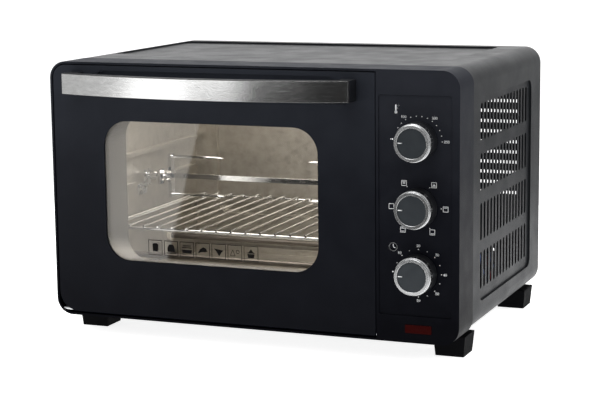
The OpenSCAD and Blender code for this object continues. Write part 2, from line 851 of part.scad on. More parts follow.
// Painted steel skin of the door with its four edges turned back, a pressed pocket and the window
module door_panel() {
    color(black_paint) place() difference() {
        union() {
            difference() {
                union() {
                    door_front();
                    slab_y(door_edge, door_t - skin - door_edge) door_outline();
                }
                slab_y(skin, door_t) door_outline(skin);
            }
            slab_y(0, pocket_d + skin) intersection() {
                pocket_outline(skin);
                door_outline(skin);
            }
            for (x = boss_xs) translate([x, skin, door_z0 + 0.5])
                cube([boss_w, 2 * hinge_y - skin, 2 * hinge_y + 2]);
        }
        slab_y(-1, skin + 2) window_outline();
        slab_y(-1, pocket_d + 1) pocket_outline();
        rod_x(door_x0, boss_xs[0] + boss_w + 1, hinge_y, hinge_z, pin_r + pin_fit);
        rod_x(boss_xs[1] - 1, door_x1 + 1, hinge_y, hinge_z, pin_r + pin_fit);
        difference() {
            translate([-half_w, -1, door_z0 - 1]) cube([body_w, 1 + hinge_y, 1 + hinge_y]);
            rod_x(-half_w - 1, half_w + 1, hinge_y, hinge_z, hinge_y);
        }
        for (x = handle_screw_xs()) rod_y(-1, skin + 1, x, handle_z, 2.2);
    }
}

function handle_screw_xs() = [for (side = [-1, 1]) handle_mid + side * (handle_l - post_l) / 2];

// Toughened glass behind the window
module door_glass() {
    color([0.55, 0.5, 0.45, 0.35]) place() slab_y(skin, glass_t) window_outline(glass_lap);
}

// Opening of the door's inner face, a little lower and narrower than the window
module opening_outline(grow = 0) {
    even_box(
        door_mid - 121 - grow, z_low + 66 - grow, door_mid + 121 + grow, z_low + 239 + grow,
        window_r - 4 + grow
    );
}

// Sloping collar from the glass back to the opening
module funnel(grow, y0, y1) {
    hull() {
        slab_y(y0, 0.01) window_outline(1.5 + grow);
        slab_y(y1, 0.01) opening_outline(grow);
    }
}
module door_inner_panel() {
    color(galvanised) place() difference() {
        union() {
            slab_y(door_t - skin, skin) door_outline(0.2);
            funnel(1, skin + glass_t, door_t - skin / 2);
        }
        funnel(0, skin + glass_t - 1, door_t + 1);
        for (x = stay_xs) translate([x - 1.5, door_t - 3, stay_z(door_t) - 8]) cube([3, 5, 16]);
    }
}

// Curved arms that slide through the face plate, one at each side of the oven
module door_stays() {
    root_y = door_t - skin - 7;
    far = 2 * stay_r;
    color(steel_bright) place() for (x = stay_xs) {
        translate([x - 5, door_t - skin - 2, stay_z(door_t) - 10]) cube([10, 2, 17]);
        slab_x(x - stay_t / 2, stay_t) {
            translate([hinge_y, hinge_z]) difference() {
                circle(r = stay_r + stay_w / 2, $fn = 96);
                circle(r = stay_r - stay_w / 2, $fn = 96);
                translate([-far, -far]) square([2 * far, far - 1.5]);
                translate([-far, -far]) square([far + root_y + 1 - hinge_y, 2 * far]);
            }
            translate([root_y, stay_z(root_y) - 6]) square([7, 9]);
        }
    }
}

// Pins of the door's hinge, fixed in the front frame
module hinge_pins() {
    color(steel_bright) place() {
        rod_x(pin_x0, boss_xs[0] + boss_w, hinge_y, hinge_z, pin_r);
        rod_x(boss_xs[1], pin_x1, hinge_y, hinge_z, pin_r);
    }
}

// Closely wound springs behind the face plate that hold the stays
module door_springs() {
    color(steel_bright) place() for (x = [stay_xs[0] + 6, stay_xs[1] - 6])
        translate([x, plate_back, hinge_z + 70]) rotate([-90, 0, 0]) rotate_extrude(convexity = 4) {
            for (i = [0 : 9]) translate([spring_r, spring_wire + i * 2 * spring_wire * 0.9])
                circle(r = spring_wire, $fn = 24);
            translate([spring_r - 0.3, 0]) square([0.6, 20 * spring_wire * 0.9]);
        }
}

// ---- handle ----

// Bow outline in x and y, between distances a and b behind the bow's front line
module bow_outline(a, b, cut = 0) {
    difference() {
        translate([handle_mid, -handle_out + bow_r]) difference() {
            circle(r = bow_r - a, $fn = 360);
            circle(r = bow_r - b, $fn = 360);
        }
        for (side = [-1, 1]) translate([handle_mid + side * (handle_l / 2 - cut + bow_r), bow_r])
            square([2 * bow_r, 3 * bow_r], center = true);
        translate([handle_mid - bow_r, 0]) square([2 * bow_r, 2 * bow_r]);
    }
}

// Plastic grip, bowed outwards, on a post at each end
module handle_bar() {
    z0 = handle_z - handle_h / 2;
    color(black_plastic) place() difference() {
        union() {
            translate([0, 0, z0]) linear_extrude(height = handle_h) bow_outline(trim_t, handle_t);
            for (x = handle_screw_xs()) translate([x - post_l / 2, -handle_end_out + 6, z0])
                cube([post_l, handle_end_out - 6, handle_h]);
        }
        for (x = handle_screw_xs()) rod_y(-8, 1, x, handle_z, 1.5);
    }
}

// Brushed steel strip on the front of the grip
module handle_plate() {
    color(steel_bright) place() translate([0, 0, handle_z - handle_h / 2 + 0.6])
        linear_extrude(height = handle_h - 1.2) bow_outline(0, trim_t, 1);
}

// Screws that hold the handle from inside the door
module handle_screws() {
    color(steel_bright) place() for (x = handle_screw_xs())
        translate([x, skin, handle_z]) rotate([0, 0, 180]) screw(9, 3.6, 1.5);
}

front_frame();
face_plate();
wrapper();
base_plate();
rear_panel();
cord_gland();
housing_screws();
cavity_left_wall();
cavity_right_wall();
cavity_top();
cavity_floor();
cavity_back();
compartment_wall();
foot_front_left();
foot_front_right();
foot_rear_left();
foot_rear_right();
top_heater_front();
top_heater_rear();
bottom_heater_front();
bottom_heater_rear();
heater_insulators();
wire_rack();
crumb_tray();
spit_rod();
spit_collar();
spit_fork_left();
spit_fork_right();
fork_screw_left();
fork_screw_right();
spit_rest();
drive_socket();
spit_motor();
thermostat();
function_switch();
timer();
timer_bell();
temperature_shaft();
function_shaft();
timer_shaft();
temperature_knob();
function_knob();
timer_knob();
temperature_knob_ring();
function_knob_ring();
timer_knob_ring();
temperature_knob_cap();
function_knob_cap();
timer_knob_cap();
pilot_lens();
pilot_lamp();
hinge_pins();
door_springs();
door_panel();
door_glass();
door_inner_panel();
door_stays();
handle_bar();
handle_plate();
handle_screws();
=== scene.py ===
import math

import bmesh
import bpy
from mathutils import Matrix, Vector


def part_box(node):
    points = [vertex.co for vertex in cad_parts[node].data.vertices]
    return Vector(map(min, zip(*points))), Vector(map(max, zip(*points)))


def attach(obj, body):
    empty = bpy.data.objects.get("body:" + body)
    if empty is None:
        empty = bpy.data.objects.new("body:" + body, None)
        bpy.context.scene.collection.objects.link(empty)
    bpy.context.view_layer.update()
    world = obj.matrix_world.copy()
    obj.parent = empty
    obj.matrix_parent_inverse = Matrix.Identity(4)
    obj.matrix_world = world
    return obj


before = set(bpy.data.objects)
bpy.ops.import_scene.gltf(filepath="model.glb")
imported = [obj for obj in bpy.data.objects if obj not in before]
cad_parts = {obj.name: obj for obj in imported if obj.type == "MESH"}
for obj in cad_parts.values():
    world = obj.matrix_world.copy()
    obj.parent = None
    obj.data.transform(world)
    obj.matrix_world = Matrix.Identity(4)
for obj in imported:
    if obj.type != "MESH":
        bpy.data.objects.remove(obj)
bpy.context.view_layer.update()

MM = 0.001
node_box = {name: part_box(name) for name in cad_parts}
low = node_box["front_frame"][0]


def at(x, y, z):
    """Point from millimetres right of, behind and above the front frame's low left front corner."""
    return Vector((low.x + x * MM, low.y + y * MM, low.z + z * MM))


def middle(node):
    a, b = node_box[node]
    return (a + b) / 2


# ---- materials ----


class Nodes:
    """Small helper that adds nodes to one material."""

    def __init__(self, name):
        self.material = bpy.data.materials.new(name)
        self.material.use_nodes = True
        self.tree = self.material.node_tree
        self.shader = self.tree.nodes["Principled BSDF"]
        self.place = self.add("ShaderNodeTexCoord").outputs["Object"]

    def add(self, kind):
        return self.tree.nodes.new(kind)

    def link(self, a, b):
        self.tree.links.new(a, b)

    def noise(self, scale, detail=3.0, turn=0.0):
        """Cloud noise in object space, stretched by the scale and turned about Y."""
        stretch = self.add("ShaderNodeMapping")
        stretch.inputs["Scale"].default_value = scale
        stretch.inputs["Rotation"].default_value = (0, turn, 0)
        self.link(self.place, stretch.inputs["Vector"])
        cloud = self.add("ShaderNodeTexNoise")
        cloud.inputs["Scale"].default_value = 1.0
        cloud.inputs["Detail"].default_value = detail
        self.link(stretch.outputs["Vector"], cloud.inputs["Vector"])
        return cloud.outputs[0]

    def spread(self, value, a, b, start=0.3, end=0.7):
        """Values from start to end, mapped to a to b."""
        span = self.add("ShaderNodeMapRange")
        span.inputs["From Min"].default_value = start
        span.inputs["From Max"].default_value = end
        span.inputs["To Min"].default_value = a
        span.inputs["To Max"].default_value = b
        self.link(value, span.inputs["Value"])
        return span.outputs[0]

    def ramp(self, value, tones):
        """Colour that runs through the tones as the value goes from 0.3 to 0.7."""
        ramp = self.add("ShaderNodeValToRGB")
        stops = ramp.color_ramp.elements
        while len(stops) < len(tones):
            stops.new(0.5)
        for i, tone in enumerate(tones):
            stops[i].position = 0.3 + 0.4 * i / (len(tones) - 1)
            stops[i].color = (*tone, 1)
        self.link(value, ramp.inputs["Fac"])
        return ramp.outputs["Color"]


# heights between which the painted light on the tones and the shine change, and the depth of a full relief,
# in metres
PAINTED_LIGHT_HEIGHTS = (0.03, 0.33)
SHINE_HEIGHTS = (0.27, 0.318)
RELIEF_DEPTH = 0.0004


def surface(
    name, tones, rough, metallic=0.0, grain=(70, 70, 70), fine=(1500, 1500, 1500), bump=0.04, edge=0.4,
    specular=0.5, cloud=0.65, sparkle=0.35, painted_top_light=0.0, shine_up=None,
):
    """Clouds of two or more tones, roughness that wanders, a fine grain in relief and softened edges.
    With painted_top_light, the tones also drift from first to last with height: painted shade that darkens
    them low down and painted light that lightens them near the top. With shine_up, the shine changes to that
    value near the top."""
    n = Nodes(name)
    clouds = n.noise(grain, 4.0)
    grit = n.noise(fine, 2.0)
    blend = n.add("ShaderNodeMath")
    blend.operation = "MULTIPLY_ADD"
    blend.inputs[1].default_value = sparkle
    n.link(grit, blend.inputs[0])
    start = (1 - cloud - sparkle) / 2
    n.link(n.spread(clouds, start, start + cloud, 0.0, 1.0), blend.inputs[2])
    tone = blend.outputs[0]
    # painted light: the tones are darkened low down and lightened near the top, standing in for how the
    # light falls
    if painted_top_light > 0:
        parts = n.add("ShaderNodeSeparateXYZ")
        n.link(n.place, parts.inputs[0])
        painted_light_tone = n.add("ShaderNodeMath")
        painted_light_tone.operation = "ADD"
        n.link(n.spread(parts.outputs["Z"], -painted_top_light, painted_top_light, *PAINTED_LIGHT_HEIGHTS), painted_light_tone.inputs[0])
        n.link(tone, painted_light_tone.inputs[1])
        tone = painted_light_tone.outputs[0]
    n.link(n.ramp(tone, tones), n.shader.inputs["Base Color"])
    n.link(n.spread(clouds, *rough), n.shader.inputs["Roughness"])
    relief = n.add("ShaderNodeBump")
    relief.inputs["Strength"].default_value = bump
    relief.inputs["Distance"].default_value = RELIEF_DEPTH
    n.link(grit, relief.inputs["Height"])
    if edge > 0:
        soft = n.add("ShaderNodeBevel")
        soft.samples = 4
        soft.inputs["Radius"].default_value = edge * MM
        n.link(soft.outputs["Normal"], relief.inputs["Normal"])
    n.link(relief.outputs["Normal"], n.shader.inputs["Normal"])
    n.shader.inputs["Metallic"].default_value = metallic
    n.shader.inputs["Specular IOR Level"].default_value = specular
    if shine_up is not None:
        parts = n.add("ShaderNodeSeparateXYZ")
        n.link(n.place, parts.inputs[0])
        shine = n.spread(parts.outputs["Z"], specular, shine_up, *SHINE_HEIGHTS)
        n.link(shine, n.shader.inputs["Specular IOR Level"])
    return n.material


def window_glass(name, tint, gloss):
    """Clear sheet that lets light straight through, with a mirror image over it and faint smears."""
    n = Nodes(name)
    out = n.tree.nodes["Material Output"]
    smears = n.noise((14, 14, 9), 5.0, 0.5)
    clear = n.add("ShaderNodeBsdfTransparent")
    n.link(n.ramp(smears, tint), clear.inputs["Color"])
    shine = n.add("ShaderNodeBsdfGlossy")
    n.link(n.spread(smears, *gloss), shine.inputs["Roughness"])
    edge_on = n.add("ShaderNodeFresnel")
    edge_on.inputs["IOR"].default_value = 1.5
    mix = n.add("ShaderNodeMixShader")
    n.link(edge_on.outputs[0], mix.inputs[0])
    n.link(clear.outputs[0], mix.inputs[1])
    n.link(shine.outputs[0], mix.inputs[2])
    n.link(mix.outputs[0], out.inputs["Surface"])
    n.tree.nodes.remove(n.shader)
    return n.material


def lens_plastic(name):
    """Red see-through plastic with fine upright ribs."""
    n = Nodes(name)
    ribs = n.add("ShaderNodeTexWave")
    ribs.inputs["Scale"].default_value = 420.0
    ribs.inputs["Distortion"].default_value = 0.4
    n.link(n.place, ribs.inputs["Vector"])
    reds = [(0.013, 0.0008, 0.0007), (0.030, 0.0014, 0.0011)]
    n.link(n.ramp(ribs.outputs["Fac"], reds), n.shader.inputs["Base Color"])
    n.link(n.spread(n.noise((200, 200, 200)), 0.16, 0.3), n.shader.inputs["Roughness"])
    relief = n.add("ShaderNodeBump")
    relief.inputs["Strength"].default_value = 0.25
    relief.inputs["Distance"].default_value = 0.0003
    n.link(ribs.outputs["Fac"], relief.inputs["Height"])
    n.link(relief.outputs["Normal"], n.shader.inputs["Normal"])
    n.shader.inputs["Specular IOR Level"].default_value = 0.015
    return n.material


LOOKS = {
    # painted light: the front frame's black is darkened towards the bottom and lightened towards the top
    "moulding": surface(
        "moulded_black",
        [(0.0005, 0.0006, 0.0018), (0.0080, 0.0088, 0.0125), (0.026, 0.028, 0.035)], (0.36, 0.46),
        grain=(40, 40, 40), fine=(2600, 2600, 2600), bump=0.10, edge=0.7, specular=0.03,
        cloud=0.10, sparkle=0.12, painted_top_light=0.21, shine_up=0.010,
    ),
    # painted light: the door's black is darkened towards the bottom and lightened towards the top
    "door_paint": surface(
        "door_black",
        [(0.0015, 0.0018, 0.0036), (0.0085, 0.0095, 0.0130), (0.026, 0.029, 0.037)], (0.30, 0.38),
        grain=(26, 26, 26), fine=(2200, 2200, 2200), bump=0.07, edge=0.5, specular=0.042,
        cloud=0.10, sparkle=0.10, painted_top_light=0.20,
    ),
    "paint": surface(
        "powder_black", [(0.0100, 0.0110, 0.0130), (0.0185, 0.0200, 0.0225)], (0.32, 0.42),
        grain=(30, 30, 30), fine=(1900, 1900, 1900), bump=0.14, edge=0.5, specular=0.05,
        cloud=0.25, sparkle=0.3, shine_up=0.12,
    ),
    "rubber": surface(
        "rubber_black", [(0.0014, 0.0014, 0.0020), (0.0034, 0.0034, 0.0042)], (0.62, 0.78),
        grain=(150, 150, 150), fine=(1200, 1200, 1200), bump=0.25, edge=0.8, specular=0.04,
    ),
    "galvanised": surface(
        "galvanised", [(0.43, 0.405, 0.365), (0.54, 0.515, 0.47), (0.61, 0.585, 0.54)], (0.34, 0.50), 0.85,
        grain=(90, 90, 90), fine=(600, 600, 600), bump=0.05, edge=0.6,
    ),
    "liner": surface(
        "door_liner", [(0.26, 0.25, 0.235), (0.31, 0.30, 0.285)], (0.50, 0.58), 0.6,
        grain=(90, 90, 90), fine=(3200, 3200, 3200), bump=0.01, edge=0.6, cloud=0.4, sparkle=0.2,
    ),
    "steel": surface(
        "bright_steel", [(0.52, 0.53, 0.54), (0.66, 0.67, 0.68)], (0.20, 0.34), 1.0,
        grain=(160, 160, 160), fine=(1800, 1800, 1800), bump=0.05, edge=0.25,
    ),
    "chrome": surface(
        "chrome", [(0.74, 0.75, 0.76), (0.84, 0.85, 0.86)], (0.06, 0.14), 1.0,
        grain=(120, 120, 120), fine=(900, 900, 900), bump=0.01, edge=0.2,
    ),
    "heater": surface(
        "heater_sheath", [(0.10, 0.085, 0.075), (0.20, 0.18, 0.16), (0.26, 0.24, 0.23)], (0.38, 0.55), 0.7,
        grain=(45, 300, 300), fine=(1400, 1400, 1400), bump=0.15, edge=0.0,
    ),
    "ceramic": surface(
        "ceramic", [(0.62, 0.58, 0.49), (0.74, 0.70, 0.61)], (0.22, 0.38), grain=(220, 220, 220), bump=0.08,
    ),
    "knob": surface(
        "knob_black", [(0.0060, 0.0064, 0.0080), (0.0110, 0.0118, 0.0140)], (0.30, 0.40),
        grain=(90, 90, 90), fine=(2600, 2600, 2600), bump=0.10, edge=0.3, specular=0.5,
    ),
    "cap": surface(
        "knob_cap", [(0.021, 0.025, 0.029), (0.029, 0.034, 0.039)], (0.34, 0.44),
        grain=(90, 90, 90), fine=(2400, 2400, 2400), bump=0.10, edge=0.25, specular=0.2,
    ),
    "satin": surface(
        "satin_chrome", [(0.46, 0.465, 0.47), (0.52, 0.525, 0.53)], (0.21, 0.25), 1.0,
        grain=(120, 120, 120), fine=(2000, 2000, 2000), bump=0.006, edge=0.25, cloud=0.3, sparkle=0.2,
    ),
    "brushed": surface(
        "brushed_handle", [(0.60, 0.60, 0.595), (0.69, 0.69, 0.685), (0.77, 0.77, 0.765)], (0.10, 0.15), 1.0,
        grain=(2.5, 500, 500), fine=(30, 5200, 5200), bump=0.05, edge=0.25, sparkle=0.3,
    ),
    "phenolic": surface(
        "phenolic", [(0.30, 0.26, 0.19), (0.40, 0.35, 0.27)], (0.45, 0.6), grain=(200, 200, 200), bump=0.12,
    ),
    "switch": surface(
        "switch_black", [(0.020, 0.020, 0.022), (0.034, 0.034, 0.036)], (0.42, 0.55),
        grain=(150, 150, 150), bump=0.1,
    ),
    "zinc": surface(
        "zinc_case", [(0.34, 0.35, 0.35), (0.48, 0.49, 0.49)], (0.30, 0.44), 0.9,
        grain=(120, 120, 120), fine=(900, 900, 900), bump=0.05,
    ),
    "glass": window_glass("window_glass", [(0.90, 0.89, 0.87), (0.93, 0.92, 0.90)], (0.0, 0.03)),
    "lens": lens_plastic("lens_red"),
    "lamp": surface(
        "neon_lamp", [(0.55, 0.22, 0.10), (0.68, 0.32, 0.16)], (0.1, 0.2), grain=(300, 300, 300), bump=0.03,
    ),
    "white_ink": surface(
        "white_ink", [(0.80, 0.81, 0.82), (0.92, 0.93, 0.94)], (0.45, 0.6),
        grain=(900, 900, 900), fine=(5000, 5000, 5000), bump=0.1, edge=0.0,
    ),
    "dark_ink": surface(
        "dark_ink", [(0.003, 0.003, 0.003), (0.007, 0.006, 0.006)], (0.5, 0.65),
        grain=(700, 700, 700), fine=(4000, 4000, 4000), bump=0.1, edge=0.0, specular=0.03,
    ),
    "red_wire": surface(
        "wire_red", [(0.28, 0.02, 0.015), (0.38, 0.035, 0.025)], (0.35, 0.5),
        grain=(300, 300, 300), edge=0.0,
    ),
    "blue_wire": surface(
        "wire_blue", [(0.02, 0.06, 0.22), (0.03, 0.09, 0.30)], (0.35, 0.5),
        grain=(300, 300, 300), edge=0.0,
    ),
    "white_wire": surface(
        "wire_sleeve", [(0.50, 0.48, 0.44), (0.62, 0.60, 0.56)], (0.55, 0.7),
        grain=(300, 300, 300), edge=0.0,
    ),
}

LOOK_OF = {
    "moulding": "front_frame",
    "door_paint": "door_panel",
    "paint": "wrapper base_plate rear_panel face_plate",
    "rubber": "cord_gland foot_front_left foot_front_right foot_rear_left foot_rear_right",
    "galvanised": "cavity_left_wall cavity_right_wall cavity_top cavity_floor cavity_back"
    " compartment_wall crumb_tray",
    "liner": "door_inner_panel",
    "steel": "housing_screws hinge_pins door_springs door_stays handle_screws spit_rest drive_socket"
    " timer_bell temperature_shaft function_shaft timer_shaft",
    "chrome": "wire_rack spit_rod spit_collar spit_fork_left spit_fork_right fork_screw_left"
    " fork_screw_right",
    "satin": "temperature_knob_ring function_knob_ring timer_knob_ring",
    "heater": "top_heater_front top_heater_rear bottom_heater_front bottom_heater_rear",
    "ceramic": "heater_insulators",
    "knob": "temperature_knob function_knob timer_knob handle_bar",
    "cap": "temperature_knob_cap function_knob_cap timer_knob_cap",
    "brushed": "handle_plate",
    "phenolic": "thermostat",
    "switch": "function_switch",
    "zinc": "spit_motor timer",
    "glass": "door_glass",
    "lens": "pilot_lens",
    "lamp": "pilot_lamp",
}

for look, names in LOOK_OF.items():
    for name in names.split():
        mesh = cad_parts[name].data
        mesh.materials.clear()
        mesh.materials.append(LOOKS[look])


# ---- printed marks and small pieces ----


class Print:
    """Thin raised print on an upright plane: outlines in x and z, from the plane towards the front."""

    def __init__(self, plane_y, lift=0.0001):
        self.mesh = bmesh.new()
        self.back = plane_y
        self.front = plane_y - lift

    def shape(self, outline):
        """Filled outline."""
        front = [self.mesh.verts.new((x, self.front, z)) for x, z in outline]
        back = [self.mesh.verts.new((x, self.back, z)) for x, z in outline]
        self.mesh.faces.new(front)
        self.mesh.faces.new(back[::-1])
        for i in range(len(outline)):
            j = (i + 1) % len(outline)
            self.mesh.faces.new((front[i], back[i], back[j], front[j]))

    def disc(self, x, z, r, sides=20):
        """Filled round dot."""
        turns = [2 * math.pi * i / sides for i in range(sides)]
        self.shape([(x + r * math.cos(t), z + r * math.sin(t)) for t in turns])

    def line(self, points, width):
        """Polyline of even width. Each stretch is a bar whose ends reach half a width further."""
        for (ax, az), (bx, bz) in zip(points, points[1:]):
            along = Vector((bx - ax, bz - az)).normalized() * width / 2
            across = Vector((-along.y, along.x))
            a = Vector((ax, az)) - along
            b = Vector((bx, bz)) + along
            self.shape([tuple(p) for p in (a - across, b - across, b + across, a + across)])

    def ring(self, x, z, r, width, sides=36):
        """Circle drawn with a stroke of even width."""
        turns = [2 * math.pi * i / sides for i in range(sides + 1)]
        self.line([(x + r * math.cos(t), z + r * math.sin(t)) for t in turns], width)

    def make(self, name, look, body):
        """Turn the print into a piece with the given look that moves with the body."""
        bmesh.ops.recalc_face_normals(self.mesh, faces=self.mesh.faces)
        data = bpy.data.meshes.new(name)
        self.mesh.to_mesh(data)
        self.mesh.free()
        piece = bpy.data.objects.new(name, data)
        bpy.context.scene.collection.objects.link(piece)
        data.materials.append(LOOKS[look])
        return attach(piece, body)


# strokes of each digit in a box that is one unit tall
DIGITS = {
    "0": [
        (0.1, 0), (0.5, 0), (0.6, 0.15), (0.6, 0.85), (0.5, 1), (0.1, 1), (0, 0.85), (0, 0.15), (0.1, 0),
    ],
    "1": [(0.1, 0.78), (0.35, 1), (0.35, 0)],
    "2": [(0, 0.8), (0.12, 1), (0.48, 1), (0.6, 0.82), (0.6, 0.62), (0, 0), (0.6, 0)],
    "3": [
        (0, 1), (0.6, 1), (0.27, 0.6), (0.5, 0.58), (0.6, 0.4), (0.6, 0.15), (0.46, 0), (0.1, 0), (0, 0.12),
    ],
    "4": [(0.46, 0), (0.46, 1), (0, 0.3), (0.66, 0.3)],
    "5": [
        (0.58, 1), (0.06, 1), (0.02, 0.56), (0.42, 0.6), (0.6, 0.42), (0.6, 0.16), (0.46, 0), (0.1, 0),
        (0, 0.1),
    ],
    "6": [
        (0.5, 1), (0.15, 0.75), (0, 0.35), (0.1, 0), (0.5, 0), (0.6, 0.2), (0.5, 0.5), (0.1, 0.5), (0, 0.35),
    ],
}
DIGIT_W = 0.6
DIGIT_STEP = 0.92
DIGIT_STROKE = 0.25


def number(ink, text, x, z, size):
    """Digits of the given height, centred on x and z."""
    step = DIGIT_STEP * size
    start = x - (step * (len(text) - 1) + DIGIT_W * size) / 2
    for i, digit in enumerate(text):
        stroke = [(start + i * step + u * size, z + (v - 0.5) * size) for u, v in DIGITS[digit]]
        ink.line(stroke, DIGIT_STROKE * size)


def around(centre, radius, degrees):
    """Place at a radius in millimetres and an angle round a dial's centre."""
    t = math.radians(degrees)
    return centre.x + radius * MM * math.cos(t), centre.z + radius * MM * math.sin(t)


def box_points(x, z, w, h):
    return [(x - w / 2, z - h / 2), (x + w / 2, z - h / 2), (x + w / 2, z + h / 2), (x - w / 2, z + h / 2)]


def outline_box(ink, x, z, w, h, width):
    corners = box_points(x, z, w, h)
    ink.line(corners + corners[:1], width)


panel_face = at(0, 1, 0).y
marks = Print(panel_face)
temperature, function, timer = (middle(f"{n}_shaft") for n in ("temperature", "function", "timer"))

DIAL_DOTS = 12
DIGIT_H = 2.3 * MM

# the temperature dial: a row of dots over the top and three numbers
TEMPERATURE_STEP = 13.6
for i in range(DIAL_DOTS):
    marks.disc(*around(temperature, 27, i * TEMPERATURE_STEP), 0.5 * MM)
marks.disc(*around(temperature, 29.6, 178), 0.9 * MM)
marks.disc(*around(temperature, 31.6, 178), 0.55 * MM)
for text, degrees, radius in (("100", 123, 31), ("200", 54, 31.4), ("250", 0, 32)):
    number(marks, text, *around(temperature, radius, degrees), DIGIT_H)

# the timer: dots of two sizes and a number at every second dot
TIMER_STEP = 22.5
for i in range(DIAL_DOTS):
    marks.disc(*around(timer, 26.6, 157.5 - i * TIMER_STEP), (0.56 if i % 2 else 0.45) * MM)
marks.disc(*around(timer, 29.4, 180), 0.7 * MM)
for i, text in enumerate(("10", "20", "30", "40", "50", "60")):
    number(marks, text, *around(timer, 30.6, 135 - i * 2 * TIMER_STEP), DIGIT_H)

for degrees in (120, 60, 0, -60, -120):
    marks.disc(*around(function, 26, degrees), 0.5 * MM)

# the six settings: off, and the heaters above, below and both, with and without the spit
icon = 5.6 * MM
thin = 0.5 * MM
bar = icon * 0.62
for degrees, top, bottom, spit in (
    (180, False, False, False), (122, True, False, True), (55, False, True, True),
    (-1, True, False, False), (-59, False, True, False), (-125, True, True, False),
):
    x, z = around(function, 31, degrees)
    outline_box(marks, x, z, icon, icon, thin)
    if top:
        marks.line([(x - bar / 2, z + icon * 0.27), (x + bar / 2, z + icon * 0.27)], thin)
    if bottom:
        marks.line([(x - bar / 2, z - icon * 0.27), (x + bar / 2, z - icon * 0.27)], thin)
    if spit:
        marks.disc(x, z, 0.85 * MM)
        marks.line([(x - bar / 2, z), (x + bar / 2, z)], 0.35 * MM)

# thermometer
spot = at(427.3, 0, 258.9)
marks.line([(spot.x, spot.z - 3 * MM), (spot.x, spot.z + 4.2 * MM)], 1.5 * MM)
marks.disc(spot.x, spot.z - 3.2 * MM, 1.6 * MM)
marks.ring(spot.x + 2.9 * MM, spot.z + 3.9 * MM, 0.8 * MM, 0.4 * MM, 16)
marks.line([(spot.x + 1.5 * MM, spot.z + 1.2 * MM), (spot.x + 2.2 * MM, spot.z + 1.2 * MM)], 0.4 * MM)

# clock
spot = at(424, 0, 106.8)
marks.ring(spot.x, spot.z, 4.5 * MM, 0.75 * MM)
marks.line([(spot.x, spot.z + 2.9 * MM), (spot.x, spot.z), (spot.x + 2.2 * MM, spot.z - 0.9 * MM)], 0.7 * MM)
marks.make("panel_marks", "white_ink", "housing")

for dial in ("temperature", "function", "timer"):
    a, b = node_box[f"{dial}_knob_cap"]
    pointer = Print(a.y + 0.28 * MM, 0.2 * MM)
    z = (a.z + b.z) / 2
    pointer.line([(a.x + 1.5 * MM, z), (a.x + 5.6 * MM, z)], 1.0 * MM)
    pointer.disc(a.x + 5.6 * MM, z, 0.5 * MM)
    pointer.make(f"{dial}_pointer", "white_ink", f"{dial}_dial")

# seven small pictures of dishes along the bottom of the window, in millimetres from each tile's middle:
# filled outlines, strokes and a ring, each with the width of its stroke
PICTURES = (
    [("fill", [(-3.2, -4.5), (3.2, -4.5), (3.8, 3.2), (2.2, 5), (-2.2, 5), (-3.8, 3.2)], 0)],
    [
        ("fill", [(-4.5, -4), (4.5, -4), (4.5, 1), (2.5, 4.6), (-2.5, 4.6), (-4.5, 1)], 0),
        ("stroke", [(-5.8, -5.6), (5.8, -5.6)], 0.8),
    ],
    [
        ("fill", [(-5.8, -4.6), (5.8, -4.6), (6.4, -0.4), (-6.4, -0.4)], 0),
        ("stroke", [(-5.6, 2), (5.6, 2)], 1.1),
        ("stroke", [(-4.6, 4.4), (4.6, 4.4)], 0.8),
    ],
    [("fill", [(-6, -3.4), (-3.4, 1.4), (0.6, 4), (4, 2.6), (6, -0.8), (3, -1.6), (-1.6, -2)], 0)],
    [("fill", [(-6, 3.6), (6, 1.6), (3.4, -1), (0.6, -5.2), (-2, -1.2)], 0)],
    [
        ("stroke", [(-5.6, -3.4), (-2.6, 3.2), (0.4, -3.4), (-5.6, -3.4)], 0.6),
        ("ring", [(3.6, 1.2)], 0.6),
    ],
    [
        ("fill", [(-3.6, -5), (3.6, -5), (4.6, -0.2), (-4.6, -0.2)], 0),
        ("fill", [(-5.2, 0.4), (5.2, 0.4), (2, 2.6), (0, 5.6), (-2, 2.6)], 0),
    ],
)
TILE = 17.2 * MM
TILE_PITCH = 20.2
TILE_LINE = 0.7 * MM
RING_R = 1.9 * MM
glass_face = node_box["door_glass"][0].y
dishes = Print(glass_face - 0.01 * MM)
for i, picture in enumerate(PICTURES):
    centre = at(131.8 + i * TILE_PITCH, 0, 87.8)
    outline_box(dishes, centre.x, centre.z, TILE, TILE, TILE_LINE)
    for kind, points, width in picture:
        spots = [(centre.x + u * MM, centre.z + v * MM) for u, v in points]
        if kind == "fill":
            dishes.shape(spots)
        elif kind == "stroke":
            dishes.line(spots, width * MM)
        else:
            dishes.ring(*spots[0], RING_R, width * MM, 20)
dishes.make("glass_pictograms", "dark_ink", "door")


def wire(name, look, points, radius=1.0):
    """Insulated wire through the given points, inside the controls' compartment."""
    curve = bpy.data.curves.new(name, "CURVE")
    curve.dimensions = "3D"
    curve.bevel_depth = radius * MM
    curve.bevel_resolution = 3
    spline = curve.splines.new("NURBS")
    spline.points.add(len(points) - 1)
    for spot, point in zip(spline.points, points):
        spot.co = (*at(*point), 1)
    spline.order_u = 3
    spline.use_endpoint_u = True
    curve.materials.append(LOOKS[look])
    piece = bpy.data.objects.new(name, curve)
    bpy.context.scene.collection.objects.link(piece)
    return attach(piece, "housing")


